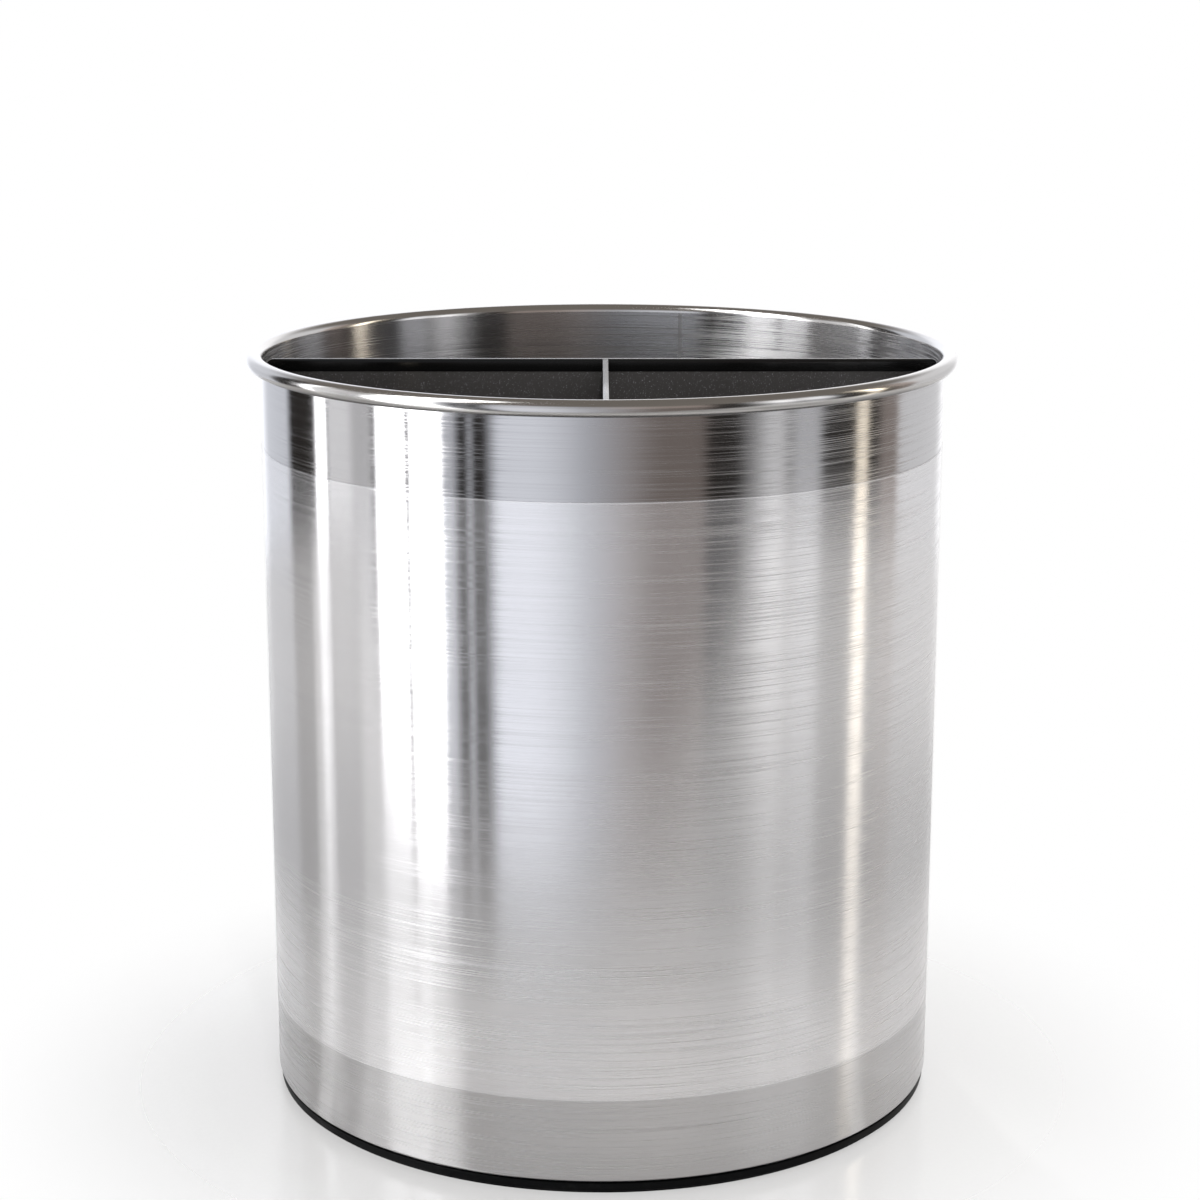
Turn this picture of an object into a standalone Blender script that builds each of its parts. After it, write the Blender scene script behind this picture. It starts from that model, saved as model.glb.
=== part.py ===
"""Divided utensil holder: a brushed-steel can with a curled rim that turns on a weighted base.

Units are metres and +Z is up. The origin is the centre of the foot, on the table. The front, with the
two quarter compartments, faces -Y, and the wrap's lap and the can's seam are at the back, +Y.
"""
from math import acos, cos, degrees, isclose, pi, radians, sin, sqrt

import bmesh
import bpy
from mathutils import Matrix, Vector

MM = 0.001

# Gaps: seated pieces, turning pieces, and how far a cutter runs past what it cuts
FIT = 0.3 * MM
RUNNING_GAP = 0.35 * MM
SHAFT_PLAY = 0.2 * MM
OVERRUN = 1.0 * MM
MERGE = 0.01 * MM

# Can: one sheet, curled outward at the rim and turned in at the foot
CAN_HEIGHT = 177.3 * MM
CAN_RADIUS = 80.8 * MM
SHEET = 0.6 * MM
CURL_RADIUS = 1.9 * MM
CURL_MOUTH = 0.3 * MM
LIP = 1.2 * MM
FOOT_BEND = 0.4 * MM

# Film sleeve round the can
FILM = 0.15 * MM
FILM_GAP = 0.2 * MM
FILM_BELOW_RIM = 22.2 * MM
FILM_ABOVE_FOOT = 19.7 * MM
FILM_LAP = 9.0 * MM

# Base plate and its grip ring
BASE_INSET = 0.5 * MM
BASE_EDGE = 1.85 * MM
BASE_CHAMFER = 0.25 * MM
PLATFORM_HEIGHT = 3.3 * MM
PLATFORM_CLEARANCE = 1.0 * MM
RECESS_DEPTH = 1.3 * MM
RECESS_RIM = 3.0 * MM
RIB = 2.0 * MM
RIB_INSET = 0.2 * MM
RIB_ROOT = 0.2 * MM
GRIP_PROUD = 0.9 * MM
GRIP_SEAT = 0.9 * MM
GRIP_WIDTH = 9.0 * MM
GRIP_EDGE = 0.8 * MM

# Turntable bearing
BALL_RADIUS = 2.0 * MM
BALL_PLAY = 0.3 * MM
RACE_MARGIN = 18.9 * MM
RACE_WIDTH = 28.0 * MM
RACE_THICKNESS = 2.0 * MM
GROOVE_DEPTH = 1.0 * MM
CAGE_WIDTH = 9.0 * MM
CAGE_THICKNESS = 1.5 * MM

# Bearing carrier in the can's foot
CARRIER_SKIRT = 3.0 * MM
CARRIER_WEB = 2.0 * MM
CENTRE_BOSS = 7.0 * MM
BOSS_PLAY = 0.4 * MM

# Screws
RACE_SCREW_EDGE = 4.0 * MM
RACE_SCREW_HEAD = 2.3 * MM
RACE_SCREW_HEAD_HEIGHT = 1.3 * MM
RACE_SCREW_SHANK = 1.25 * MM
RACE_SCREW_BOSS = 4.0 * MM
BALLAST_SCREW_HEAD = 3.2 * MM
BALLAST_SCREW_HEAD_HEIGHT = 2.0 * MM
BALLAST_SCREW_SHANK = 1.5 * MM
BALLAST_BOSS = 4.0 * MM
BALLAST_BOSS_DEPTH = 3.0 * MM
BALLAST_BOSS_GAP = 4.0 * MM
BLIND_END = 0.5 * MM
CENTRE_HEAD = 5.0 * MM
CENTRE_HEAD_HEIGHT = 2.0 * MM
CENTRE_HEAD_RECESS = 0.9 * MM
CENTRE_SHOULDER = 3.0 * MM
CENTRE_THREAD = 2.0 * MM
SOCKET_DEPTH_SHARE = 0.6
SOCKET_WIDTH_SHARE = 0.5

# Hub of the base plate, its bush and its washer
BUSH = 1.0 * MM
HUB_WALL = 2.0 * MM
HUB_ROOF = 2.6 * MM
WASHER_OVERLAP = 2.5 * MM
WASHER_THICKNESS = 0.8 * MM
WASHER_CLEARANCE = 0.5 * MM

# Ballast and the can's floor
BALLAST_THICKNESS = 5.0 * MM
BALLAST_MARGIN = 7.3 * MM
BALLAST_BORE = 8.0 * MM
FLOOR_BEND = 1.5 * MM

# Grip mat on the floor
MAT_THICKNESS = 2.0 * MM
MAT_CLEARANCE = 0.8 * MM
MAT_CHAMFER = 0.5 * MM
MAT_GROOVE = 0.5 * MM
RAIL = 1.6 * MM
RAIL_HEIGHT = 4.0 * MM
RAIL_MARGIN = 6.0 * MM

# Divider
DIVIDER_DROP = 3.0 * MM
DIVIDER_CLEARANCE = 0.5 * MM
DIVIDER_CORNER = 1.5 * MM
LONG_PANEL = 1.3 * MM
CROSS_PANEL = 1.0 * MM
CROSS_OFFSET = 0.8 * MM
BAND_HEIGHT = 3.0 * MM
BAND_STEP = 0.15 * MM
TAB_HEIGHT = 18.0 * MM

# Counts of repeated things, and of facets
BALLS = 12
RACE_SCREWS = 4
BALLAST_SCREWS = 3
RIBS = 8
TABS = 3
WALL_FACETS = 72
LAP_FACETS = 3
PLATE_FACETS = 48
RACE_FACETS = 36
SMALL_FACETS = 20
HOLE_FACETS = 10
HEX = 6
CURL_STEPS = 10
BEND_STEPS = 3
GROOVE_STEPS = 4
CORNER_STEPS = 4

# Levels and radii that follow from the sizes, from the table up
plate_bottom = GRIP_PROUD
edge_top = plate_bottom + BASE_EDGE
platform_top = plate_bottom + PLATFORM_HEIGHT
can_bottom = edge_top + RUNNING_GAP
rim_top = can_bottom + CAN_HEIGHT
lower_race_bottom = platform_top + FIT
lower_race_top = lower_race_bottom + RACE_THICKNESS
ball_height = lower_race_top - GROOVE_DEPTH + BALL_PLAY + BALL_RADIUS
upper_race_bottom = 2 * ball_height - lower_race_top
upper_race_top = upper_race_bottom + RACE_THICKNESS
web_bottom = upper_race_top + FIT
web_top = web_bottom + CARRIER_WEB
ballast_bottom = web_top + FIT
ballast_top = ballast_bottom + BALLAST_THICKNESS
floor_underside = ballast_top + FIT
floor_top = floor_underside + SHEET
mat_bottom = floor_top + FIT
mat_top = mat_bottom + MAT_THICKNESS
divider_bottom = mat_top - MAT_GROOVE + FIT
divider_top = rim_top - DIVIDER_DROP

centre_head_bottom = plate_bottom + CENTRE_HEAD_RECESS
centre_head_top = centre_head_bottom + CENTRE_HEAD_HEIGHT
washer_bottom = centre_head_top + FIT
washer_top = washer_bottom + WASHER_THICKNESS
hub_ceiling = washer_top + FIT
hub_top = hub_ceiling + HUB_ROOF
boss_bottom = hub_top + BOSS_PLAY

wall_inside = CAN_RADIUS - SHEET
lip_radius = wall_inside - LIP
carrier_radius = wall_inside - FIT
skirt_inside = carrier_radius - CARRIER_SKIRT
base_radius = CAN_RADIUS - BASE_INSET
platform_radius = skirt_inside - PLATFORM_CLEARANCE
grip_outside = base_radius - GRIP_EDGE - FIT
grip_inside = grip_outside - GRIP_WIDTH
race_outside = skirt_inside - RACE_MARGIN
race_inside = race_outside - RACE_WIDTH
ball_circle = (race_outside + race_inside) / 2
lower_screw_circle = race_outside - RACE_SCREW_EDGE
upper_screw_circle = race_inside + RACE_SCREW_EDGE
ballast_screw_circle = race_outside + BALLAST_BOSS_GAP + BALLAST_BOSS
ballast_radius = carrier_radius - BALLAST_MARGIN
mat_radius = wall_inside - MAT_CLEARANCE
divider_reach = wall_inside - DIVIDER_CLEARANCE
bush_inside = CENTRE_SHOULDER + SHAFT_PLAY
bush_outside = bush_inside + BUSH
hub_bore = bush_outside + FIT
washer_radius = hub_bore + WASHER_OVERLAP
counterbore = washer_radius + WASHER_CLEARANCE
hub_outside = counterbore + HUB_WALL
race_hole = RACE_SCREW_SHANK + FIT
ballast_hole = BALLAST_SCREW_SHANK + FIT
thread_hole = CENTRE_THREAD + FIT
long_band = LONG_PANEL / 2 + BAND_STEP
cross_band = CROSS_PANEL / 2 + BAND_STEP

for old in list(bpy.data.objects):
    bpy.data.objects.remove(old, do_unlink=True)


def new_collection(name):
    """A fresh collection in the scene."""
    collection = bpy.data.collections.new(name)
    bpy.context.scene.collection.children.link(collection)
    return collection


parts = new_collection("utensil_holder")
cutters = new_collection("cutters")


def material(name, colour, roughness, metallic=0.0):
    """A Principled material."""
    made = bpy.data.materials.new(name)
    made.use_nodes = True
    shader = made.node_tree.nodes["Principled BSDF"]
    shader.inputs["Base Color"].default_value = (*colour, 1.0)
    shader.inputs["Roughness"].default_value = roughness
    shader.inputs["Metallic"].default_value = metallic
    return made


def new_object(name, mesh, collection=parts):
    """Put a mesh in a collection as a named object."""
    made = bpy.data.objects.new(name, mesh)
    collection.objects.link(made)
    return made


def settle(thing):
    """Turn what an object's modifiers make into its own mesh, shaded smooth but for its sharp edges."""
    graph = bpy.context.evaluated_depsgraph_get()
    mesh = bpy.data.meshes.new_from_object(thing.evaluated_get(graph))
    thing.modifiers.clear()
    thing.data = mesh
    mesh.shade_smooth()
    mesh.set_sharp_from_angle(angle=radians(30))
    return thing


def arc(centre, radius, start, end, steps):
    """Points along an arc of a profile, from one angle to another in degrees, ends included."""
    angles = [radians(start + (end - start) * step / steps) for step in range(steps + 1)]
    return [(centre[0] + radius * cos(angle), centre[1] + radius * sin(angle)) for angle in angles]


def turned(name, profile, facets, solid=False):
    """Turn a profile of (radius, height) points, which runs clockwise, round the Z axis.

    A ring's profile is a closed loop; a solid piece's profile starts and ends on the axis.
    """
    edges = [(point, point + 1) for point in range(len(profile) - 1)]
    if not solid:
        edges.append((len(profile) - 1, 0))
    mesh = bpy.data.meshes.new(name)
    mesh.from_pydata([(radius, 0, height) for radius, height in profile], edges, [])
    made = new_object(name, mesh)
    screw = made.modifiers.new("turn", "SCREW")
    screw.steps = facets
    screw.render_steps = facets
    screw.use_merge_vertices = True
    screw.merge_threshold = MERGE
    return settle(made)


def circle(count, radius, first=0.0):
    """Places (x, y) spread evenly round the axis, the first at an angle in degrees."""
    angles = [radians(first) + 2 * pi * step / count for step in range(count)]
    return [(radius * cos(angle), radius * sin(angle)) for angle in angles]


def add_peg(shape, place, radius, low, high, facets=HOLE_FACETS):
    """Add an upright cylinder to a bmesh."""
    where = Matrix.Translation((*place, (low + high) / 2))
    bmesh.ops.create_cone(
        shape, cap_ends=True, segments=facets, radius1=radius, radius2=radius, depth=high - low, matrix=where)


def add_block(shape, low, high):
    """Add a box between two corners to a bmesh, and return its vertices."""
    size = Vector(high) - Vector(low)
    where = Matrix.Translation((Vector(high) + Vector(low)) / 2) @ Matrix.Diagonal((*size, 1))
    return bmesh.ops.create_cube(shape, size=1, matrix=where)["verts"]


def to_object(shape, name, collection=parts):
    """Turn a bmesh into an object."""
    mesh = bpy.data.meshes.new(name)
    shape.to_mesh(mesh)
    shape.free()
    return new_object(name, mesh, collection)


def combine(thing, shape, operation):
    """Join a bmesh to an object, or cut it out of the object."""
    tool = to_object(shape, f"{thing.name}_{operation.lower()}", cutters)
    tool.hide_render = True
    tool.display_type = "WIRE"
    boolean = thing.modifiers.new(operation.lower(), "BOOLEAN")
    boolean.operation = operation
    boolean.object = tool
    settle(thing)
    bpy.data.objects.remove(tool, do_unlink=True)
    return thing


def drill(thing, places, radius, low, high, facets=HOLE_FACETS):
    """Cut upright holes into an object."""
    holes = bmesh.new()
    for place in places:
        add_peg(holes, place, radius, low, high, facets)
    return combine(thing, holes, "DIFFERENCE")


def repeated(one, places):
    """Stand copies of an object at the given (x, y) places, numbered from 1, which share its mesh."""
    name = one.name
    copies = [one] + [new_object(name, one.data) for place in places[1:]]
    for number, (copy, place) in enumerate(zip(copies, places), start=1):
        copy.name = f"{name}_{number}"
        copy.location.xy = place
    return copies


def screws(name, places, sizes, head_seat, tip):
    """Socket screws that share one head seat level and one tip level, heads away from the tips."""
    head_radius, head_height, shank = sizes
    up = 1 if head_seat > tip else -1
    head_end = head_seat + up * head_height
    half = [(0, head_end), (head_radius, head_end), (head_radius, head_seat),
            (shank, head_seat), (shank, tip), (0, tip)]
    one = turned(name, half[::up], HOLE_FACETS, solid=True)
    socket_floor = head_end - up * head_height * SOCKET_DEPTH_SHARE
    socket = sorted((socket_floor, head_end + up * OVERRUN))
    drill(one, [(0, 0)], head_radius * SOCKET_WIDTH_SHARE, *socket, facets=HEX)
    return repeated(one, places)


def can_wall():
    """Rolled sheet: turned-in foot, straight wall and a rim curled outward and down to the wall again."""
    curl_centre = (wall_inside + CURL_RADIUS, rim_top - CURL_RADIUS)
    reach = (curl_centre[0] - CAN_RADIUS - CURL_MOUTH) / CURL_RADIUS
    curl_end = degrees(acos(reach)) - 180
    bend_centre = (wall_inside - FOOT_BEND, can_bottom + SHEET + FOOT_BEND)
    outer_foot = arc(bend_centre, FOOT_BEND + SHEET, 0, -90, BEND_STEPS)
    lip = [(lip_radius, can_bottom), (lip_radius, can_bottom + SHEET)]
    inner_foot = arc(bend_centre, FOOT_BEND, -90, 0, BEND_STEPS)
    curl = arc(curl_centre, CURL_RADIUS, 180, curl_end, CURL_STEPS)
    inside_curl = arc(curl_centre, CURL_RADIUS - SHEET, curl_end, 180, CURL_STEPS)
    return turned("can_wall", outer_foot + lip + inner_foot + curl + inside_curl, WALL_FACETS)


def can_floor():
    """Pressed steel floor with its skirt turned down, welded inside the wall."""
    centre = (carrier_radius - SHEET - FLOOR_BEND, floor_underside - FLOOR_BEND)
    skirt_bottom = web_top + FIT
    profile = [(0, floor_top)]
    profile += arc(centre, FLOOR_BEND + SHEET, 90, 0, BEND_STEPS)
    profile += [(carrier_radius, skirt_bottom), (carrier_radius - SHEET, skirt_bottom)]
    profile += arc(centre, FLOOR_BEND, 0, 90, BEND_STEPS)
    profile += [(0, floor_underside)]
    return turned("can_floor", profile, PLATE_FACETS, solid=True)


def film_band():
    """One length of film wound once round the can, its end lapped over its start behind."""
    lap = FILM_LAP / CAN_RADIUS
    columns = WALL_FACETS + LAP_FACETS
    film_bottom = can_bottom + FILM_ABOVE_FOOT
    film_top = rim_top - FILM_BELOW_RIM
    shape = bmesh.new()
    pairs = []
    for column in range(columns + 1):
        turn = (2 * pi + lap) * column / columns
        lift = min(max((turn - 2 * pi + 2 * lap) / lap, 0), 1)
        radius = CAN_RADIUS + FILM_GAP + lift * (FILM + FILM_GAP)
        angle = pi / 2 + turn
        x, y = radius * cos(angle), radius * sin(angle)
        pairs.append([shape.verts.new((x, y, height)) for height in (film_bottom, film_top)])
    for (low, high), (next_low, next_high) in zip(pairs, pairs[1:]):
        shape.faces.new((low, next_low, next_high, high))
    made = to_object(shape, "film_band")
    solidify = made.modifiers.new("thickness", "SOLIDIFY")
    solidify.thickness = FILM
    solidify.offset = 1
    return settle(made)


def base_plate():
    """Moulded base: grip-ring groove and ribs below, race platform and hub above."""
    groove_outside = grip_outside + FIT
    groove_inside = grip_inside - FIT
    groove_top = plate_bottom + GRIP_SEAT
    recess_outside = groove_inside - RECESS_RIM
    recess_top = plate_bottom + RECESS_DEPTH
    profile = [
        (hub_bore, hub_top), (hub_outside, hub_top), (hub_outside, platform_top),
        (platform_radius, platform_top), (platform_radius, edge_top),
        (base_radius - BASE_CHAMFER, edge_top), (base_radius, edge_top - BASE_CHAMFER),
        (base_radius, plate_bottom + BASE_CHAMFER), (base_radius - BASE_CHAMFER, plate_bottom),
        (groove_outside, plate_bottom), (groove_outside, groove_top),
        (groove_inside, groove_top), (groove_inside, plate_bottom),
        (recess_outside, plate_bottom), (recess_outside, recess_top),
        (hub_outside, recess_top), (hub_outside, plate_bottom),
        (counterbore, plate_bottom), (counterbore, hub_ceiling), (hub_bore, hub_ceiling)]
    plate = turned("base_plate", profile, PLATE_FACETS)

    rib_low = plate_bottom + RIB_INSET
    rib_high = recess_top + RIB_ROOT
    start = hub_outside - RIB_ROOT
    end = recess_outside + RIB_ROOT
    for step in range(RIBS):
        rib = bmesh.new()
        add_block(rib, (start, -RIB / 2, rib_low), (end, RIB / 2, rib_high))
        rib.transform(Matrix.Rotation(2 * pi * (step + 0.5) / RIBS, 4, "Z"))
        combine(plate, rib, "UNION")
    places = circle(RACE_SCREWS, lower_screw_circle)
    bosses = bmesh.new()
    for place in places:
        add_peg(bosses, place, RACE_SCREW_BOSS, rib_low, rib_high)
    combine(plate, bosses, "UNION")
    return drill(plate, places, race_hole, rib_low + BLIND_END, platform_top + OVERRUN)


def grip_ring():
    """Soft ring seated in the base plate's groove, the part that stands on the table."""
    top = plate_bottom + GRIP_SEAT - FIT
    profile = [
        (grip_outside, top), (grip_outside, BASE_CHAMFER), (grip_outside - BASE_CHAMFER, 0),
        (grip_inside + BASE_CHAMFER, 0), (grip_inside, BASE_CHAMFER), (grip_inside, top)]
    return turned("grip_ring", profile, PLATE_FACETS)


def race_groove(start, end):
    """The ball groove's arc, between the angles at which it leaves a race's flat face."""
    return arc((ball_circle, ball_height), BALL_RADIUS + BALL_PLAY, start, end, GROOVE_STEPS)


def lower_race():
    """Steel ring on the base plate with a ball groove in its top."""
    edge = degrees(acos((ball_height - lower_race_top) / (BALL_RADIUS + BALL_PLAY)))
    profile = [(race_outside, lower_race_top), (race_outside, lower_race_bottom),
               (race_inside, lower_race_bottom), (race_inside, lower_race_top)]
    profile += race_groove(-90 - edge, -90 + edge)
    ring = turned("lower_race", profile, RACE_FACETS)
    return drill(ring, circle(RACE_SCREWS, lower_screw_circle), race_hole,
                 lower_race_bottom - OVERRUN, lower_race_top + OVERRUN)


def upper_race():
    """Steel ring under the carrier with a ball groove in its underside."""
    edge = degrees(acos((upper_race_bottom - ball_height) / (BALL_RADIUS + BALL_PLAY)))
    profile = [(race_inside, upper_race_bottom), (race_inside, upper_race_top),
               (race_outside, upper_race_top), (race_outside, upper_race_bottom)]
    profile += race_groove(90 - edge, 90 + edge)
    ring = turned("upper_race", profile, RACE_FACETS)
    return drill(ring, circle(RACE_SCREWS, upper_screw_circle), race_hole,
                 upper_race_bottom - OVERRUN, upper_race_top + OVERRUN)


def ball_cage():
    """Nylon ring between the races with a pocket for each ball."""
    low = ball_height - CAGE_THICKNESS / 2
    high = ball_height + CAGE_THICKNESS / 2
    outside = ball_circle + CAGE_WIDTH / 2
    inside = ball_circle - CAGE_WIDTH / 2
    cage = turned("ball_cage", [(outside, high), (outside, low), (inside, low), (inside, high)], RACE_FACETS)
    return drill(cage, circle(BALLS, ball_circle), BALL_RADIUS + BALL_PLAY, low - OVERRUN, high + OVERRUN)


def bearing_balls():
    """The steel balls in the cage's pockets."""
    shape = bmesh.new()
    bmesh.ops.create_icosphere(shape, subdivisions=2, radius=BALL_RADIUS)
    ball = settle(to_object(shape, "bearing_ball"))
    ball.location.z = ball_height
    balls = repeated(ball, circle(BALLS, ball_circle))
    for copy in balls:
        copy.location.z = ball_height
    return balls


def bearing_carrier():
    """Moulded disc on the can's turned-in foot, with bosses for the centre and ballast screws."""
    skirt_bottom = can_bottom + SHEET + FIT
    hole_top = web_top - BLIND_END
    profile = [
        (0, web_top), (carrier_radius, web_top), (carrier_radius, skirt_bottom), (skirt_inside, skirt_bottom),
        (skirt_inside, web_bottom), (CENTRE_BOSS, web_bottom), (CENTRE_BOSS, boss_bottom),
        (thread_hole, boss_bottom), (thread_hole, hole_top), (0, hole_top)]
    disc = turned("bearing_carrier", profile, PLATE_FACETS, solid=True)
    places = circle(BALLAST_SCREWS, ballast_screw_circle, first=90)
    boss_end = web_bottom - BALLAST_BOSS_DEPTH
    bosses = bmesh.new()
    for place in places:
        add_peg(bosses, place, BALLAST_BOSS, boss_end, web_bottom + BLIND_END)
    combine(disc, bosses, "UNION")
    drill(disc, places, ballast_hole, boss_end + BLIND_END, web_top + OVERRUN)
    return drill(disc, circle(RACE_SCREWS, upper_screw_circle), race_hole,
                 web_bottom - OVERRUN, web_top - BLIND_END)


def ballast_disc():
    """Thick steel disc with counterbored screw holes."""
    profile = [(ballast_radius, ballast_top), (ballast_radius, ballast_bottom),
               (BALLAST_BORE, ballast_bottom), (BALLAST_BORE, ballast_top)]
    disc = turned("ballast_disc", profile, RACE_FACETS)
    places = circle(BALLAST_SCREWS, ballast_screw_circle, first=90)
    seat = ballast_top - BALLAST_SCREW_HEAD_HEIGHT - 2 * FIT
    drill(disc, places, ballast_hole, ballast_bottom - OVERRUN, seat + FIT)
    return drill(disc, places, BALLAST_SCREW_HEAD + FIT, seat, ballast_top + OVERRUN)


def ballast_screws():
    """Screws down through the ballast into the carrier's bosses."""
    seat = ballast_top - BALLAST_SCREW_HEAD_HEIGHT - FIT
    tip = web_bottom - BALLAST_BOSS_DEPTH + BLIND_END + FIT
    sizes = (BALLAST_SCREW_HEAD, BALLAST_SCREW_HEAD_HEIGHT, BALLAST_SCREW_SHANK)
    return screws("ballast_screw", circle(BALLAST_SCREWS, ballast_screw_circle, first=90), sizes, seat, tip)


def race_screws():
    """Screws down through the lower race, and others up through the upper race."""
    sizes = (RACE_SCREW_HEAD, RACE_SCREW_HEAD_HEIGHT, RACE_SCREW_SHANK)
    lower_tip = plate_bottom + RIB_INSET + BLIND_END + FIT
    lower = screws("lower_race_screw", circle(RACE_SCREWS, lower_screw_circle), sizes,
                   lower_race_top + FIT, lower_tip)
    upper = screws("upper_race_screw", circle(RACE_SCREWS, upper_screw_circle), sizes,
                   upper_race_bottom - FIT, web_top - BLIND_END - FIT)
    return lower + upper


def centre_screw():
    """Shoulder screw up through the hub into the carrier's boss."""
    shoulder_top = boss_bottom - FIT
    profile = [
        (0, web_top - BLIND_END - FIT), (CENTRE_THREAD, web_top - BLIND_END - FIT),
        (CENTRE_THREAD, shoulder_top), (CENTRE_SHOULDER, shoulder_top), (CENTRE_SHOULDER, centre_head_top),
        (CENTRE_HEAD, centre_head_top), (CENTRE_HEAD, centre_head_bottom), (0, centre_head_bottom)]
    screw = turned("centre_screw", profile, SMALL_FACETS, solid=True)
    socket_top = centre_head_bottom + CENTRE_HEAD_HEIGHT * SOCKET_DEPTH_SHARE
    return drill(screw, [(0, 0)], CENTRE_HEAD * SOCKET_WIDTH_SHARE, centre_head_bottom - OVERRUN,
                 socket_top, facets=HEX)


def sleeve(name, inside, outside, low, high):
    """A plain ring, such as a washer or a bush."""
    return turned(name, [(outside, high), (outside, low), (inside, low), (inside, high)], SMALL_FACETS)


def floor_mat():
    """Lift-out mat with a raised T-shaped channel that holds the divider's foot."""
    profile = [(0, mat_top), (mat_radius - MAT_CHAMFER, mat_top), (mat_radius, mat_top - MAT_CHAMFER),
               (mat_radius, mat_bottom), (0, mat_bottom)]
    mat = turned("floor_mat", profile, PLATE_FACETS, solid=True)
    reach = mat_radius - RAIL_MARGIN
    rail_top = mat_top + RAIL_HEIGHT
    root = mat_top - MAT_GROOVE
    long_slot = LONG_PANEL / 2 + FIT
    cross_slot = CROSS_PANEL / 2 + FIT
    for spread, end, top, operation in (
            (RAIL, reach, rail_top, "UNION"),
            (0, mat_radius + OVERRUN, rail_top + OVERRUN, "DIFFERENCE")):
        long_half = long_slot + spread
        cross_half = cross_slot + spread
        along = bmesh.new()
        add_block(along, (-end, -long_half, root), (end, long_half, top))
        combine(mat, along, operation)
        across = bmesh.new()
        add_block(across, (CROSS_OFFSET - cross_half, -end, root), (CROSS_OFFSET + cross_half, 0, top))
        combine(mat, across, operation)
    return mat


def lies_at(edge, axis, position):
    """Whether both ends of an edge lie at a position along one axis."""
    return all(isclose(vert.co[axis], position, abs_tol=MERGE) for vert in edge.verts)


def round_corners(shape, verts, level, places):
    """Round the corners of a block at one level, those that lie at the given (axis, position) places."""
    edges = {edge for vert in verts for edge in vert.link_edges}
    chosen = [edge for edge in edges
              if lies_at(edge, 2, level) and any(lies_at(edge, axis, position) for axis, position in places)]
    bmesh.ops.bevel(
        shape, geom=chosen, offset=DIVIDER_CORNER, segments=CORNER_STEPS, profile=0.5, affect="EDGES")


def tab_levels():
    """The lower and upper levels of each tab of the cross wall, spread over the wall's height."""
    pitch = (divider_top - BAND_HEIGHT - divider_bottom) / TABS
    middles = [divider_bottom + pitch * (step + 0.5) for step in range(TABS)]
    return [(middle - TAB_HEIGHT / 2, middle + TAB_HEIGHT / 2) for middle in middles]


def divider_long_wall():
    """Wall across the full diameter: thin panel, thicker smooth band on top, slots for the cross wall."""
    half = LONG_PANEL / 2
    join = divider_top - BAND_HEIGHT / 2
    panel = bmesh.new()
    add_block(panel, (-divider_reach, -half, divider_bottom), (divider_reach, half, join))
    wall = to_object(panel, "divider_long_wall")
    band = bmesh.new()
    verts = add_block(band, (-divider_reach, -long_band, divider_top - BAND_HEIGHT),
                      (divider_reach, long_band, divider_top))
    round_corners(band, verts, divider_top, [(0, -divider_reach), (0, divider_reach)])
    combine(wall, band, "UNION")
    slots = bmesh.new()
    slot = CROSS_PANEL / 2 + FIT
    through = half + OVERRUN
    left = CROSS_OFFSET - slot
    right = CROSS_OFFSET + slot
    for low, high in tab_levels():
        add_block(slots, (left, -through, low - FIT), (right, through, high + FIT))
    return combine(wall, slots, "DIFFERENCE")


def divider_cross_wall():
    """Wall from the long wall to the front, with tabs that pass through the long wall."""
    left = CROSS_OFFSET - CROSS_PANEL / 2
    right = CROSS_OFFSET + CROSS_PANEL / 2
    back = -long_band - FIT
    front = -sqrt(divider_reach ** 2 - (CROSS_OFFSET + cross_band) ** 2)
    join = divider_top - BAND_HEIGHT / 2
    panel = bmesh.new()
    add_block(panel, (left, front, divider_bottom), (right, back, join))
    wall = to_object(panel, "divider_cross_wall")
    band = bmesh.new()
    verts = add_block(band, (CROSS_OFFSET - cross_band, front, divider_top - BAND_HEIGHT),
                      (CROSS_OFFSET + cross_band, back, divider_top))
    round_corners(band, verts, divider_top, [(1, front)])
    combine(wall, band, "UNION")
    for low, high in tab_levels():
        tab = bmesh.new()
        add_block(tab, (left, back - OVERRUN, low), (right, LONG_PANEL / 2, high))
        combine(wall, tab, "UNION")
    return wall


brushed_steel = material("brushed_steel", (0.62, 0.61, 0.60), 0.24, 1.0)
zinc_steel = material("zinc_steel", (0.56, 0.58, 0.60), 0.35, 1.0)
black_plastic = material("black_plastic", (0.012, 0.012, 0.013), 0.30)
black_rubber = material("black_rubber", (0.010, 0.010, 0.011), 0.80)
milky_film = material("milky_film", (0.85, 0.86, 0.88), 0.40)
white_nylon = material("white_nylon", (0.80, 0.79, 0.74), 0.45)

finishes = {
    brushed_steel: [can_wall(), can_floor()],
    milky_film: [film_band()],
    black_plastic: [base_plate(), bearing_carrier(), divider_long_wall(), divider_cross_wall()],
    black_rubber: [grip_ring(), floor_mat()],
    white_nylon: [
        ball_cage(),
        sleeve("hub_bush", bush_inside, bush_outside, hub_ceiling, hub_top)],
    zinc_steel: [
        lower_race(), upper_race(), *bearing_balls(), ballast_disc(), *ballast_screws(), *race_screws(),
        centre_screw(),
        sleeve("centre_washer", CENTRE_SHOULDER + FIT, washer_radius, washer_bottom, washer_top)]}
for finish, pieces in finishes.items():
    for piece in pieces:
        piece.data.materials.clear()
        piece.data.materials.append(finish)
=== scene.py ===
from math import acos, atan2, cos, degrees, hypot, pi, radians, sin, tan

import bmesh
import bpy
from mathutils import Matrix, Vector


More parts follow.
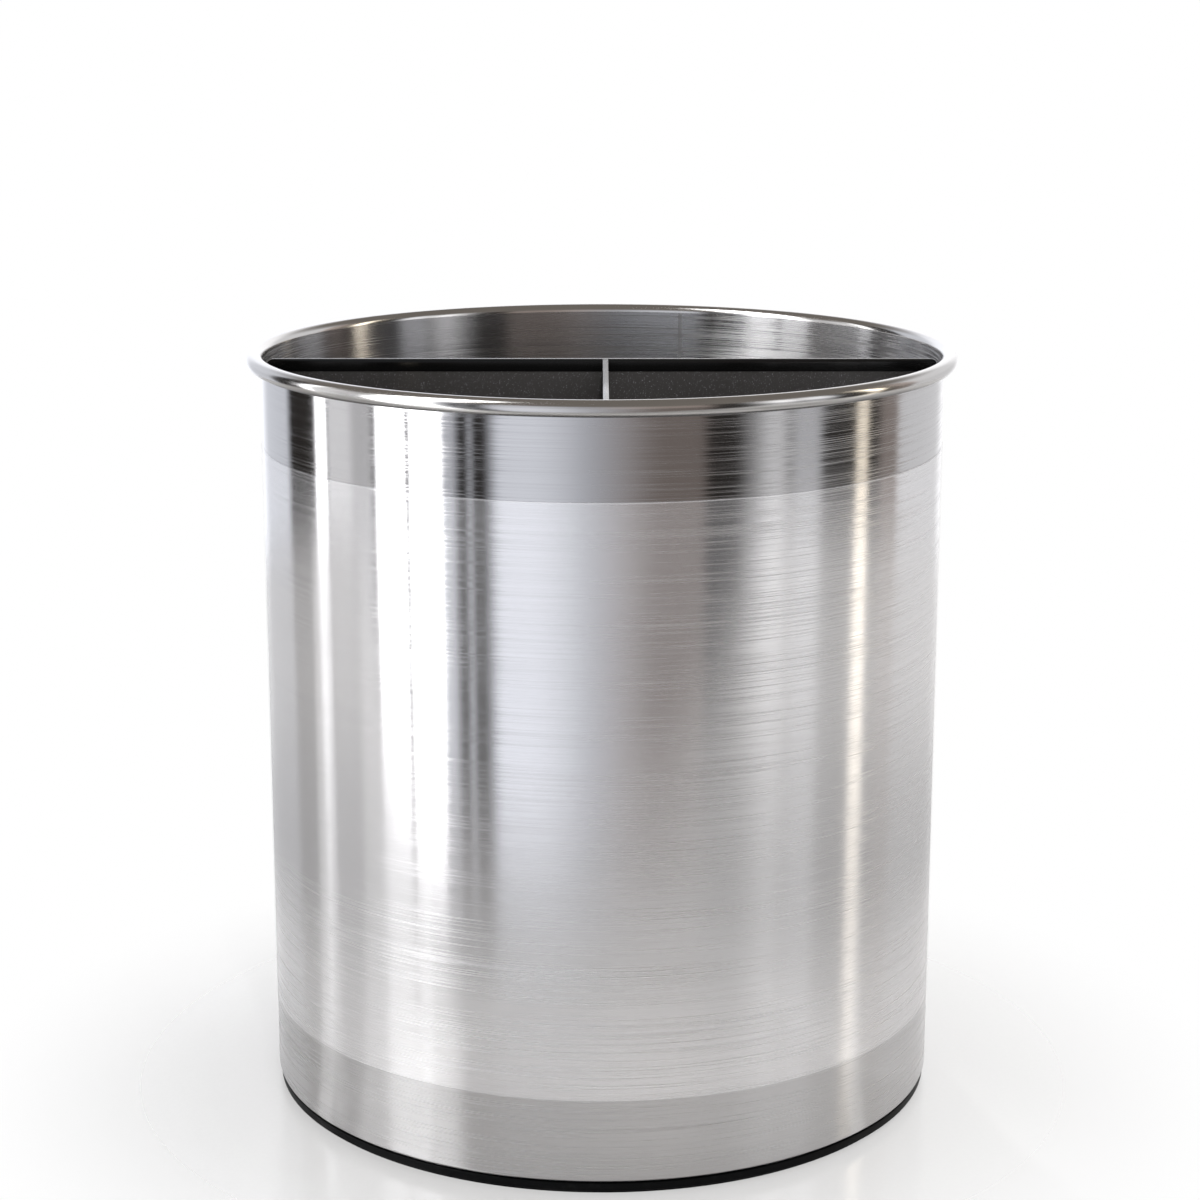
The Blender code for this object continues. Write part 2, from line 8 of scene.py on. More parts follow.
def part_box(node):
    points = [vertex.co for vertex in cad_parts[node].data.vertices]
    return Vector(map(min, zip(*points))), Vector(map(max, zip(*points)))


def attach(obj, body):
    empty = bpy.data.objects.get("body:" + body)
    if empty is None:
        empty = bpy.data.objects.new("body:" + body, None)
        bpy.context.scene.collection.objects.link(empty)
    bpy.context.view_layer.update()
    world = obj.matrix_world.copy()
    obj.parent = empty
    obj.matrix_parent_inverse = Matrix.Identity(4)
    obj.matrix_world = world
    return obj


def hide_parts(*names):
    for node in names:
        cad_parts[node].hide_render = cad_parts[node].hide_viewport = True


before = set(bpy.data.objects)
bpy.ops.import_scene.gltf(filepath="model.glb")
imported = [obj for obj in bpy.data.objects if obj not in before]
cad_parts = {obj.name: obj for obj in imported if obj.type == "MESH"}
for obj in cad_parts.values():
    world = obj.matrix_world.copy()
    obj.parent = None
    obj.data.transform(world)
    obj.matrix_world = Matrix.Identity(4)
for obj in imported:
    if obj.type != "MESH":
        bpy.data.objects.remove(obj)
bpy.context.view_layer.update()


# Base plate: one black injection moulding. Only its edge shows, as the ring under the can. Underneath it has
# the grip ring's groove, ribs and blind screw bosses, and on top the platform that carries the lower race.
MM = 0.001
base_low, base_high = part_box("base_plate")
grip_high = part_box("grip_ring")[1]
bush_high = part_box("hub_bush")[1]
washer_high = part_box("centre_washer")[1]
race_low, race_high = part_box("lower_race")
SEAT_GAP = 0.3 * MM
OVERRUN = 1.0 * MM
BASE_EDGE = 1.85 * MM
PLATFORM_RADIUS = 75.9 * MM
GRIP_WIDTH = 9.0 * MM
RECESS_RIM = 3.0 * MM
RECESS_DEPTH = 1.3 * MM
COUNTERBORE_GAP = 0.5 * MM
HUB_WALL = 2.0 * MM
RIB = 2.0 * MM
RIB_INSET = 0.2 * MM
RIBS = 8
SCREW_BOSS = 4.0 * MM
SCREW_HOLE = 1.55 * MM
SCREW_HOLE_FLOOR = 0.7 * MM
RACE_SCREW_EDGE = 4.0 * MM
RACE_SCREWS = 4
MOULD_RADIUS = 0.22 * MM
ROUND_STEPS = 3
MOST_TRIM = 0.45
FLAT_TURN = radians(12)
SHARP_EDGE = radians(38)
TINY_EDGE = 0.001 * MM
TURN_STEPS = 288
SMALL_STEPS = 32


def settled(thing):
    """Make an object's modifiers permanent, merge its tiny edges and shade it smooth but for sharp ones."""
    graph = bpy.context.evaluated_depsgraph_get()
    mesh = bpy.data.meshes.new_from_object(thing.evaluated_get(graph))
    shape = bmesh.new()
    shape.from_mesh(mesh)
    bmesh.ops.remove_doubles(shape, verts=shape.verts, dist=TINY_EDGE)
    shape.to_mesh(mesh)
    shape.free()
    thing.modifiers.clear()
    thing.data = mesh
    mesh.shade_smooth()
    mesh.set_sharp_from_angle(angle=SHARP_EDGE)
    return thing


def new_piece(name, mesh):
    """Put a mesh in the scene as a named object."""
    made = bpy.data.objects.new(name, mesh)
    bpy.context.scene.collection.objects.link(made)
    return made


def as_piece(name, shape):
    """Put a bmesh in the scene as a named object, and free it."""
    mesh = bpy.data.meshes.new(name)
    shape.to_mesh(mesh)
    shape.free()
    return new_piece(name, mesh)


def rounded(profile, radius):
    """Round the corners of a closed profile of (radius, height) points, as a mould does."""
    soft = []
    for number, point in enumerate(profile):
        before, here, after = (Vector(profile[(number + step) % len(profile)]) for step in (-1, 0, 1))
        inward, outward = before - here, after - here
        turn = pi - inward.angle(outward, pi)
        if turn < FLAT_TURN:
            soft.append(point)
            continue
        trim = min(radius * tan(turn / 2), MOST_TRIM * inward.length, MOST_TRIM * outward.length)
        start, end = here + inward.normalized() * trim, here + outward.normalized() * trim
        for step in range(ROUND_STEPS + 1):
            share = step / ROUND_STEPS
            soft.append(tuple(start.lerp(here, share).lerp(here.lerp(end, share), share)))
    return soft


def turned(name, profile, steps=TURN_STEPS, closed=True):
    """Turn a clockwise profile of (radius, height) points round Z; one that isn't closed ends on the axis."""
    edges = [(point, point + 1) for point in range(len(profile) - 1)]
    if closed:
        edges.append((len(profile) - 1, 0))
    mesh = bpy.data.meshes.new(name)
    mesh.from_pydata([(radius, 0, height) for radius, height in profile], edges, [])
    made = new_piece(name, mesh)
    screw = made.modifiers.new("turn", "SCREW")
    screw.steps = screw.render_steps = steps
    screw.use_merge_vertices = True
    screw.merge_threshold = TINY_EDGE
    return settled(made)


def circle(count, radius):
    """Places (x, y) spread evenly round the axis."""
    angles = [2 * pi * step / count for step in range(count)]
    return [(radius * cos(angle), radius * sin(angle)) for angle in angles]


def peg(shape, place, radius, low, high):
    """Add an upright cylinder to a bmesh."""
    where = Matrix.Translation((*place, (low + high) / 2))
    bmesh.ops.create_cone(shape, cap_ends=True, segments=SMALL_STEPS, radius1=radius, radius2=radius,
                          depth=high - low, matrix=where)


def block(shape, low, high):
    """Add a box between two corners to a bmesh, and return its vertices."""
    size = Vector(high) - Vector(low)
    where = Matrix.Translation((Vector(high) + Vector(low)) / 2) @ Matrix.Diagonal((*size, 1))
    return bmesh.ops.create_cube(shape, size=1, matrix=where)["verts"]


def combined(thing, shape, operation):
    """Join a bmesh to a piece with UNION, or cut it out with DIFFERENCE."""
    tool = as_piece("tool", shape)
    boolean = thing.modifiers.new("boolean", "BOOLEAN")
    boolean.operation = operation
    boolean.object = tool
    settled(thing)
    bpy.data.objects.remove(tool, do_unlink=True)


class Wire:
    """One output in a node tree, with shader maths written as Python."""

    def __init__(self, tree, socket=None):
        self.tree = tree
        self.socket = socket

    def node(self, kind, settings=None, sockets=None, output=0):
        """Add a node: its settings first, then its sockets' values or links. Returns one of its outputs."""
        made = self.tree.nodes.new(kind)
        for name, value in (settings or {}).items():
            setattr(made, name, value)
        for name, value in (sockets or {}).items():
            if isinstance(value, Wire):
                self.tree.links.new(value.socket, made.inputs[name])
            else:
                made.inputs[name].default_value = value
        return Wire(self.tree, made.outputs[output])

    def maths(self, operation, *values):
        return self.node("ShaderNodeMath", {"operation": operation}, dict(enumerate(values)))

    def vector(self, operation, *values, output=0):
        return self.node("ShaderNodeVectorMath", {"operation": operation}, dict(enumerate(values)), output)

    def __add__(self, other):
        return self.maths("ADD", self, other)

    def __sub__(self, other):
        return self.maths("SUBTRACT", self, other)

    def __rsub__(self, other):
        return self.maths("SUBTRACT", other, self)

    def __mul__(self, other):
        return self.maths("MULTIPLY", self, other)

    __radd__ = __add__

    def step(self, low, high):
        """0 below one value, 1 above the other and smooth between; low may be the larger."""
        return self.node("ShaderNodeMapRange", {"interpolation_type": "SMOOTHSTEP"},
                         {"Value": self, "From Min": low, "From Max": high})

    def between(self, rising, full, falling, gone):
        """1 from the second value to the third, and smoothly down to 0 at the first and the last."""
        return self.step(rising, full) * self.step(gone, falling)

    def mix(self, first, second):
        """A colour between two, with this wire as the share of the second."""
        first, second = ((*colour, 1) if isinstance(colour, tuple) else colour for colour in (first, second))
        return self.node("ShaderNodeMix", {"data_type": "RGBA"}, {0: self, 6: first, 7: second}, output=2)

    def place(self):
        """Where a point is on the piece, in metres in the holder's own frame."""
        return self.node("ShaderNodeTexCoord", output="Object")

    def axis(self, letter):
        return self.node("ShaderNodeSeparateXYZ", sockets={0: self}, output=letter)

    def bearing(self, x=0.0, y=0.0):
        """The direction of this place from a point, seen from above, in degrees from the front."""
        return self.maths("ARCTAN2", self.axis("X") - x, y - self.axis("Y")) * (180 / pi)

    def stretched(self, x, y, z):
        return self.vector("MULTIPLY", self, (x, y, z))

    def length(self):
        return self.vector("LENGTH", self, output="Value")

    def scaled(self, amount):
        return self.node("ShaderNodeVectorMath", {"operation": "SCALE"}, {0: self, "Scale": amount})

    def plus(self, other):
        return self.vector("ADD", self, other)

    def noise(self, scale, detail=2.0, roughness=0.5):
        """Noise from 0 to 1 at this place."""
        return self.node("ShaderNodeTexNoise", None,
                         {"Vector": self, "Scale": scale, "Detail": detail, "Roughness": roughness})

    def cells(self, scale):
        return self.node("ShaderNodeTexVoronoi", None, {"Vector": self, "Scale": scale})

    def bump(self, depth, strength, normal=None):
        """The normal of a surface on which this wire is the height, in units of depth."""
        sockets = {"Height": self, "Distance": depth, "Strength": strength}
        if normal is not None:
            sockets["Normal"] = normal
        return self.node("ShaderNodeBump", None, sockets)

    def leaning(self, amount):
        """The surface's normal, leaned round the Z axis by an amount that varies from place to place."""
        sideways = self.vector("NORMALIZE", self.vector("CROSS_PRODUCT", self.place(), (0, 0, 1)))
        return self.node("ShaderNodeNewGeometry", output="Normal").plus(sideways.scaled(amount))


def new_finish(name, constants):
    """A Principled material with its constants set on the shader's own sockets, and a wire in its tree."""
    made = bpy.data.materials.new(name)
    made.use_nodes = True
    shader = made.node_tree.nodes["Principled BSDF"]
    for socket, value in constants.items():
        shader.inputs[socket].default_value = value
    return made, shader, Wire(made.node_tree)


def feed(shader, wires):
    """Link varying signals to a shader's sockets."""
    for socket, wire in wires.items():
        shader.id_data.links.new(wire.socket, shader.inputs[socket])


def moulded_plastic(name, colour, dullness):
    """Black moulded plastic: fine spark-eroded grain, faint flow marks and a little dust in the grain."""
    made, shader, start = new_finish(name, {"Specular IOR Level": 0.08})
    place = start.place()
    grain = place.noise(5200, 3, 0.6)
    flow = place.stretched(1, 1, 3).noise(45, 3)
    dust = place.noise(260, 4, 0.7).step(0.56, 0.8)
    feed(shader, {
        "Base Color": (dust * 0.5).mix(colour, tuple(channel + 0.012 for channel in colour)),
        "Roughness": dullness + grain * 0.16 + flow * 0.1 + dust * 0.12,
        "Normal": (grain + flow * 0.6).bump(0.02 * MM, 0.5)})
    return made


def dress(piece, material, body, slot, *nodes):
    """Give a new piece its material and its body, and hide the CAD nodes that it stands for; the slot is not
    used.
    """
    piece.data.materials.clear()
    piece.data.materials.append(material)
    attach(piece, body)
    if nodes:
        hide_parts(*nodes)


base_radius = base_high.x
plate_bottom = base_low.z
edge_top = plate_bottom + BASE_EDGE
platform_top = race_low.z - SEAT_GAP
groove_outside = grip_high.x + SEAT_GAP
groove_inside = grip_high.x - GRIP_WIDTH - SEAT_GAP
groove_top = grip_high.z + SEAT_GAP
recess_outside = groove_inside - RECESS_RIM
recess_top = plate_bottom + RECESS_DEPTH
hub_bore = bush_high.x + SEAT_GAP
hub_ceiling = washer_high.z + SEAT_GAP
counterbore = washer_high.x + COUNTERBORE_GAP
hub_outside = counterbore + HUB_WALL
plate_profile = [
    (hub_bore, base_high.z), (hub_outside, base_high.z), (hub_outside, platform_top),
    (PLATFORM_RADIUS, platform_top), (PLATFORM_RADIUS, edge_top), (base_radius, edge_top),
    (base_radius, plate_bottom), (groove_outside, plate_bottom), (groove_outside, groove_top),
    (groove_inside, groove_top), (groove_inside, plate_bottom), (recess_outside, plate_bottom),
    (recess_outside, recess_top), (hub_outside, recess_top), (hub_outside, plate_bottom),
    (counterbore, plate_bottom), (counterbore, hub_ceiling), (hub_bore, hub_ceiling)]
base = turned("base_moulding", rounded(plate_profile, MOULD_RADIUS))
ribs = bmesh.new()
for rib in range(RIBS):
    corners = block(ribs, (hub_outside - RIB_INSET, -RIB / 2, plate_bottom + RIB_INSET),
                    (recess_outside + RIB_INSET, RIB / 2, recess_top + RIB_INSET))
    turn = Matrix.Rotation(2 * pi * (rib + 0.5) / RIBS, 4, "Z")
    bmesh.ops.transform(ribs, matrix=turn, verts=corners)
combined(base, ribs, "UNION")
boss_places = circle(RACE_SCREWS, race_high.x - RACE_SCREW_EDGE)
bosses = bmesh.new()
holes = bmesh.new()
for place in boss_places:
    peg(bosses, place, SCREW_BOSS, plate_bottom + RIB_INSET, recess_top + RIB_INSET)
    peg(holes, place, SCREW_HOLE, plate_bottom + SCREW_HOLE_FLOOR, platform_top + OVERRUN)
combined(base, bosses, "UNION")
combined(base, holes, "DIFFERENCE")
base_black = moulded_plastic("base_black", (0.002, 0.0022, 0.0025), 0.30)
dress(base, base_black, "base", "base_plastic", "base_plate")


# Grip ring: a soft black rubber ring pressed into the base plate's groove, with three fine grooves in its
# sole that help it to hold on the table. It is a shade blacker than the plate and quite dull.
GRIP_ROUND = 0.3 * MM
SOLE_GROOVE = 0.25 * MM
SOLE_GROOVES = 3
GROOVE_MOUTH = 1 / 5
GROOVE_FLOOR = 1 / 9


def rubber(name, colour, dullness):
    """Soft rubber: matte, with a fine skin, mould bloom and lint that catches in it."""
    made, shader, start = new_finish(name, {"Specular IOR Level": 0.08})
    place = start.place()
    skin = place.noise(3400, 4, 0.65)
    bloom = place.noise(38, 3, 0.6).step(0.45, 0.75)
    lint = place.noise(900, 2).step(0.68, 0.78)
    feed(shader, {
        "Base Color": (bloom * 0.5 + lint * 0.4).mix(colour, tuple(channel + 0.02 for channel in colour)),
        "Roughness": dullness + skin * 0.14 - bloom * 0.06,
        "Normal": skin.bump(0.03 * MM, 0.6)})
    return made


grip_inside = grip_high.x - GRIP_WIDTH
pitch = GRIP_WIDTH / (SOLE_GROOVES + 1)
sole = []
for number in range(1, SOLE_GROOVES + 1):
    middle = grip_high.x - number * pitch
    sole += [(middle + pitch * GROOVE_MOUTH, 0), (middle + pitch * GROOVE_FLOOR, SOLE_GROOVE),
             (middle - pitch * GROOVE_FLOOR, SOLE_GROOVE), (middle - pitch * GROOVE_MOUTH, 0)]
grip_profile = [(grip_high.x, grip_high.z), (grip_high.x, 0), *sole,
                (grip_inside, 0), (grip_inside, grip_high.z)]
grip = turned("grip_band", rounded(grip_profile, GRIP_ROUND))
grip_black = rubber("grip_black", (0.002, 0.002, 0.002), 0.62)
dress(grip, grip_black, "base", "black_rubber", "grip_ring")


# Turntable bearing: two zinc-plated steel races screwed to the plate and the carrier, with steel balls in a
# nylon cage rolling between them, and the nylon bush in the plate's hub. All of it is sealed in the foot.
BALLS = 12


def zinc_plate(name, scratches):
    """Zinc-plated steel: bluish spangle, a satin surface and turning marks or scratches."""
    made, shader, start = new_finish(name, {"Metallic": 1.0})
    place = start.place()
    spangle = place.cells(420)
    cloud = place.noise(150, 4, 0.6)
    marks = place.stretched(1, 1, 0.2).noise(scratches, 3, 0.7)
    feed(shader, {
        "Base Color": (cloud * 0.7 + spangle * 0.3).mix((0.50, 0.53, 0.57), (0.66, 0.67, 0.66)),
        "Roughness": 0.26 + cloud * 0.14 + marks * 0.12,
        "Normal": (marks + spangle * 0.3).bump(0.01 * MM, 0.5)})
    return made


def nylon(name):
    """Natural nylon: warm white, waxy, with faint flow lines."""
    made, shader, start = new_finish(name, {
        "Subsurface Weight": 0.15, "Subsurface Scale": 0.5 * MM, "Subsurface Radius": (1.0, 0.8, 0.6)})
    place = start.place()
    flow = place.stretched(1, 1, 4).noise(120, 4, 0.6)
    fine = place.noise(2600, 2)
    feed(shader, {
        "Base Color": flow.mix((0.74, 0.72, 0.66), (0.83, 0.82, 0.77)),
        "Roughness": 0.34 + fine * 0.12,
        "Normal": (fine + flow).bump(0.01 * MM, 0.5)})
    return made


def ball_steel(name):
    """Ground and polished ball: near mirror, with hairline tracks from rolling."""
    made, shader, start = new_finish(name, {"Metallic": 1.0})
    tracks = start.place().stretched(600, 600, 4200).noise(1, 4, 0.7)
    feed(shader, {
        "Base Color": tracks.mix((0.62, 0.62, 0.63), (0.72, 0.72, 0.72)),
        "Roughness": 0.05 + tracks.step(0.5, 0.8) * 0.12,
        "Normal": tracks.bump(0.002 * MM, 0.3)})
    return made


def refinish(material, *names):
    """Give CAD nodes that stay a better material."""
    for name in names:
        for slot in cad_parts[name].material_slots:
            slot.material = material


def numbered(name, count):
    return [f"{name}_{number}" for number in range(1, count + 1)]


plated = zinc_plate("plated_steel", 900)
refinish(plated, "lower_race", "upper_race", "centre_washer", "centre_screw",
         *numbered("lower_race_screw", RACE_SCREWS), *numbered("upper_race_screw", RACE_SCREWS))
refinish(nylon("natural_nylon"), "hub_bush", "ball_cage")
refinish(ball_steel("ball_steel"), *numbered("bearing_ball", BALLS))


# Bearing carrier and ballast: a black moulded disc on the can's turned-in foot carries the can, and a thick
# steel disc screwed on top keeps the holder from tipping. The disc is dipped in black paint.
BALLAST_SCREWS = 3


def dipped_paint(name):
    """Black dip paint on iron: orange peel, and grey metal where it has chipped."""
    made, shader, start = new_finish(name, {"Coat Weight": 0.3, "Coat Roughness": 0.2})
    place = start.place()
    peel = place.noise(700, 2)
    chips = place.noise(190, 5, 0.75).step(0.68, 0.70)
    feed(shader, {
        "Base Color": chips.mix((0.035, 0.036, 0.038), (0.30, 0.29, 0.28)),
        "Metallic": chips * 0.9,
        "Roughness": 0.36 + peel * 0.15 + chips * 0.1,
        "Normal": (peel - chips * 0.8).bump(0.05 * MM, 0.5)})
    return made


refinish(base_black, "bearing_carrier")
refinish(dipped_paint("dipped_black"), "ballast_disc")
refinish(plated, *numbered("ballast_screw", BALLAST_SCREWS))


# Can floor: pressed from the same sheet as the can, its skirt turned down and spot-welded inside the wall.
# Pressing leaves it satin, with faint rings from the tool and a raised ring that stiffens it.
SHEET = 0.6 * MM
FLOOR_BEND = 1.5 * MM
BEND_STEPS = 10
STIFFENER = 55.0 * MM
STIFFENER_WIDTH = 4.0 * MM
STIFFENER_TOP = 0.6
STIFFENER_RISE = 0.25 * MM
STEEL_TINT = (0.635, 0.63, 0.635)
LIGHT_SIDE, HARD_SIDE = -35.0 * MM, 20.0 * MM
CLEAR_LEVEL, DULL_LEVEL = 100.0 * MM, 30.0 * MM
LEAST_BRUSHING = 0.35
FOOT_BRUSHING = 1.4


def steel(name, roughness, streak, lean, anisotropic):
    """Steel brushed round Z: hair lines change its gloss and lean, more on the right, and dull the foot."""
    made, shader, start = new_finish(name, {
        "Metallic": 1.0, "Anisotropic": anisotropic, "Anisotropic Rotation": 0.25})
    place = start.place()
    hairs = place.stretched(18, 18, 4200).noise(1, 2, 0.6)
    bands = place.stretched(7, 7, 300).noise(1, 3, 0.6)
    tone = place.noise(9, 2)
    lines = (hairs * 0.8 + bands * 0.2).step(0.36, 0.66)
    darker = tuple(channel * 0.95 for channel in STEEL_TINT)
    beside = place.axis("X").step(LIGHT_SIDE, HARD_SIDE)
    below = place.axis("Z").step(CLEAR_LEVEL, DULL_LEVEL)
    pressed = LEAST_BRUSHING + beside * (1 - LEAST_BRUSHING)
    dulled = place.maths("MAXIMUM", beside, below * FOOT_BRUSHING)
    dulled = LEAST_BRUSHING + dulled * (1 - LEAST_BRUSHING)
    feed(shader, {
        "Base Color": (lines * 0.8 + tone * 0.2).mix(STEEL_TINT, darker),
        "Roughness": roughness + lines * lines * dulled * streak,
        "Normal": lines.bump(0.002 * MM, 0.5, start.leaning((hairs - 0.5) * pressed * lean))})
    return made


def arc(centre, radius, start, end, steps):
    """Points along an arc of a profile, from one angle to another in degrees, ends included."""
    angles = [radians(start + (end - start) * step / steps) for step in range(steps + 1)]
    return [(centre[0] + radius * cos(angle), centre[1] + radius * sin(angle)) for angle in angles]


floor_low, floor_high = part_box("can_floor")
floor_radius = floor_high.x
skirt_inside = floor_radius - SHEET
top = floor_high.z
bend = (skirt_inside - FLOOR_BEND, top - SHEET - FLOOR_BEND)
floor_profile = [(0, top)]
for side, rise in ((-1, 0), (-STIFFENER_TOP, STIFFENER_RISE), (STIFFENER_TOP, STIFFENER_RISE), (1, 0)):
    floor_profile.append((STIFFENER + side * STIFFENER_WIDTH, top + rise))
floor_profile += arc(bend, FLOOR_BEND + SHEET, 90, 0, BEND_STEPS)
floor_profile += [(floor_radius, floor_low.z), (skirt_inside, floor_low.z)]
floor_profile += arc(bend, FLOOR_BEND, 0, 90, BEND_STEPS)
floor_profile += [(0, top - SHEET)]
can_floor = turned("pressed_floor", floor_profile, closed=False)
dress(can_floor, steel("pressed_steel", 0.26, 0.20, 0.05, 0.5), "can", "brushed_steel", "can_floor")


# Can wall: stainless sheet rolled to a cylinder, seam-welded near the middle of the back, brushed round and
# round outside and more coarsely inside, curled out at the rim into a hollow bead that is buffed bright, and
# turned in at the foot.
can_low, can_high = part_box("can_wall")
film_low, film_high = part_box("film_band")
FILM = 0.15 * MM
CURL_RADIUS = 1.9 * MM
CURL_MOUTH = 0.3 * MM
CURL_STEPS = 28
CURL_MARGIN = 1.02
CURL_UNDERSIDE = (-0.45, -0.92)
LIP = 1.2 * MM
FOOT_BEND = 0.4 * MM
FOOT_STEPS_OUTSIDE, FOOT_STEPS_INSIDE = 6, 4
SEAM_HALF = 0.8 * MM
SEAM_CORE = 0.32 * MM
SEAM_TURN = radians(15)
SEAM_TINT = (0.52, 0.51, 0.50)
wall_inside = can_high.x - 2 * CURL_RADIUS
can_radius = wall_inside + SHEET
rim_top = can_high.z
can_bottom = can_low.z
curl_centre = (wall_inside + CURL_RADIUS, rim_top - CURL_RADIUS)
reach = (curl_centre[0] - can_radius - CURL_MOUTH) / CURL_RADIUS
curl_end = degrees(acos(reach)) - 180
foot_centre = (wall_inside - FOOT_BEND, can_bottom + SHEET + FOOT_BEND)
wall_profile = arc(foot_centre, FOOT_BEND + SHEET, 0, -90, FOOT_STEPS_OUTSIDE)
wall_profile += [(wall_inside - LIP, can_bottom), (wall_inside - LIP, can_bottom + SHEET)]
wall_profile += arc(foot_centre, FOOT_BEND, -90, 0, FOOT_STEPS_INSIDE)
wall_profile += arc(curl_centre, CURL_RADIUS, 180, curl_end, CURL_STEPS)
wall_profile += arc(curl_centre, CURL_RADIUS - SHEET, curl_end, 180, CURL_STEPS)
can = turned("can_body", wall_profile)


def brushed_can(name, roughness, streak, lean, anisotropic, painted_veil):
    """The can's steel: brushed, with painted light under the film, and a weld seam at the back."""
    made = steel(name, roughness, streak, lean, anisotropic)
    shader = made.node_tree.nodes["Principled BSDF"]
    dullness, colour = (Wire(made.node_tree, shader.inputs[socket].links[0].from_socket)
                        for socket in ("Roughness", "Base Color"))
    place = colour.place()
    # Painted light: the steel under the film band is painted brighter, standing in for the milky film's veil.
    under_film = place.axis("Z").between(film_low.z, film_low.z + FILM, film_high.z - FILM, film_high.z)
    across = place.axis("X") * cos(SEAM_TURN) - place.axis("Y") * sin(SEAM_TURN)
    behind = place.axis("Y").step(0, can_radius)
    seam = place.maths("ABSOLUTE", across).step(SEAM_HALF, SEAM_CORE) * behind
    ground = place.stretched(3000, 3000, 60).noise(1, 3, 0.6)
    feed(shader, {
        "Roughness": dullness + seam * (ground * 0.25 - 0.02),
        "Base Color": (seam * 0.5).mix(colour.scaled(1 + under_film * painted_veil), SEAM_TINT)})
    return made


def buffed_bead(name):
    """The rim's bead: buffed nearly to a mirror with faint lines along it, and painted shade under its curl.
    """
    made, shader, start = new_finish(name, {
        "Metallic": 1.0, "Anisotropic": 0.3, "Anisotropic Rotation": 0.25})
    place = start.place()
    lines = place.stretched(30, 30, 5000).noise(1, 3, 0.6)
    marks = place.noise(160, 4, 0.7).step(0.6, 0.75)
    # Painted shade: faces turned down under the curl are darkened, for the shadow in the gap between bead and
    # wall.
    under = start.node("ShaderNodeNewGeometry", output="Normal").axis("Z").step(*CURL_UNDERSIDE)
    feed(shader, {
        "Base Color": lines.mix((0.60, 0.59, 0.58), (0.68, 0.67, 0.66)).scaled(1 - under * 0.85),
        "Roughness": 0.13 + lines * 0.06 + marks * 0.05,
        "Normal": (lines + marks * 0.3).bump(0.003 * MM, 0.5)})
    return made


# The last value paints the steel brighter under the film, as painted light for the film's veil; none inside.
outer_steel = brushed_can("brushed_steel_wall", 0.085, 0.25, 0.06, 0.65, 0.35)
dress(can, outer_steel, "can", "brushed_steel", "can_wall")
can.data.materials.append(buffed_bead("buffed_steel_bead"))
can.data.materials.append(brushed_can("brushed_steel_inside", 0.17, 0.34, 0.12, 1.0, 0.0))
for face in can.data.polygons:
    middle = Vector((hypot(face.center.x, face.center.y), face.center.z))
    in_curl = (middle - Vector(curl_centre)).length < CURL_RADIUS * CURL_MARGIN
    if in_curl and middle.y > rim_top - 2 * CURL_RADIUS:
        face.material_index = 1
    elif middle.x < wall_inside + SHEET / 2:
        face.material_index = 2


# Film band: one length of milky see-through film wound once round the can and lapped over its start behind.
# It veils the steel's reflections a little; painted highlights show its cut edges as fine lighter lines.
FILM_GAP = 0.2 * MM
FILM_LAP = 9.0 * MM
LAP_STEPS = 12
lap = FILM_LAP / can_radius
columns = TURN_STEPS + LAP_STEPS
sleeve = bmesh.new()
pairs = []
for column in range(columns + 1):
    turn = (2 * pi + lap) * column / columns
    share = min(max((turn - 2 * pi + 2 * lap) / lap, 0), 1)
    radius = can_radius + FILM_GAP + share * share * (3 - 2 * share) * (FILM + FILM_GAP)
    angle = pi / 2 + turn
    pairs.append([sleeve.verts.new((radius * cos(angle), radius * sin(angle), height))
                  for height in (film_low.z, film_high.z)])
for (low, high), (next_low, next_high) in zip(pairs, pairs[1:]):
    sleeve.faces.new((low, next_low, next_high, high))
film = as_piece("film_sleeve", sleeve)
thickness = film.modifiers.new("thickness", "SOLIDIFY")
thickness.thickness = FILM
thickness.offset = 1
settled(film)


def milky_film(name):
    """Milky film: a thin white veil, a little uneven, with a painted highlight along its cut edges."""
    made, shader, start = new_finish(name, {"Specular IOR Level": 0.5, "IOR": 1.45})
    place = start.place()
    level = place.axis("Z")
    cloud = place.noise(30, 3, 0.55)
    drawn = place.stretched(10, 10, 900).noise(1, 2)
    # Painted highlight: the film is made more opaque, and so whiter, along its cut edges.
    upper_edge_highlight = level.step(film_high.z - 2 * FILM, film_high.z - FILM)
    lower_edge_highlight = level.step(film_low.z + 2 * FILM, film_low.z + FILM)
    feed(shader, {
        "Base Color": cloud.mix((0.86, 0.87, 0.89), (0.90, 0.90, 0.92)),
        "Roughness": 0.25 + cloud * 0.15,
        "Alpha": 0.028 + cloud * 0.02 + drawn * 0.01 + upper_edge_highlight * 0.10 + lower_edge_highlight * 0.06,
        "Normal": (cloud + drawn * 0.3).bump(0.02 * MM, 0.3)})
    return made


dress(film, milky_film("milky_film_veil"), "can", "milky_film", "film_band")


